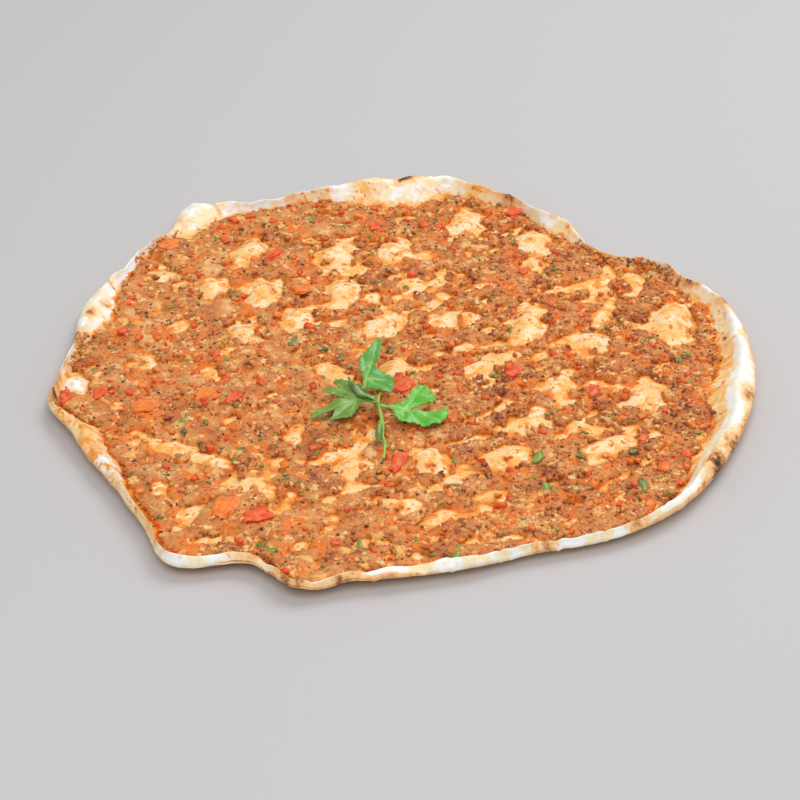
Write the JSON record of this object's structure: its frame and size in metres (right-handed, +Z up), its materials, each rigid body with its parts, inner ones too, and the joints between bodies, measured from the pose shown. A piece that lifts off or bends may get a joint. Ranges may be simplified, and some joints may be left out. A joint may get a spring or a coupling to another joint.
{
  "type": "lahmacun flatbread",
  "caption": "Thin uneven round flatbread with a raised browned edge, a thin spread of minced meat and pepper broken by bare dough blisters, and a sprig of parsley on top.",
  "frame": {"origin": "on the surface it lies on, under the middle of the bread's bounding box", "axes": "+Z up, the shortest extent; +Y away from the viewer in the picture, the longest extent; +X to the right in the picture"},
  "size_m": [0.283, 0.3078, 0.0208],
  "materials": {
    "dough": "baked wheat dough, dry and lightly floured, toasted brown along the edge",
    "topping": "moist fine mince with a slight oily sheen",
    "red_pepper": "soft glossy cooked pepper",
    "orange_pepper": "soft glossy cooked pepper",
    "parsley": "fresh waxy green leaf"
  },
  "bodies": {
    "root": {"flatbread": "dough", "meat_topping": "topping", "red_pepper_1": "red_pepper", "red_pepper_2": "red_pepper", "red_pepper_3": "red_pepper", "red_pepper_4": "red_pepper", "red_pepper_5": "red_pepper", "red_pepper_6": "red_pepper", "red_pepper_7": "red_pepper", "red_pepper_8": "red_pepper", "red_pepper_9": "red_pepper", "red_pepper_10": "red_pepper", "red_pepper_11": "red_pepper", "orange_pepper_1": "orange_pepper", "orange_pepper_2": "orange_pepper", "orange_pepper_3": "orange_pepper", "orange_pepper_4": "orange_pepper", "orange_pepper_5": "orange_pepper", "parsley_sprig": "parsley"}
  },
  "joints": []
}
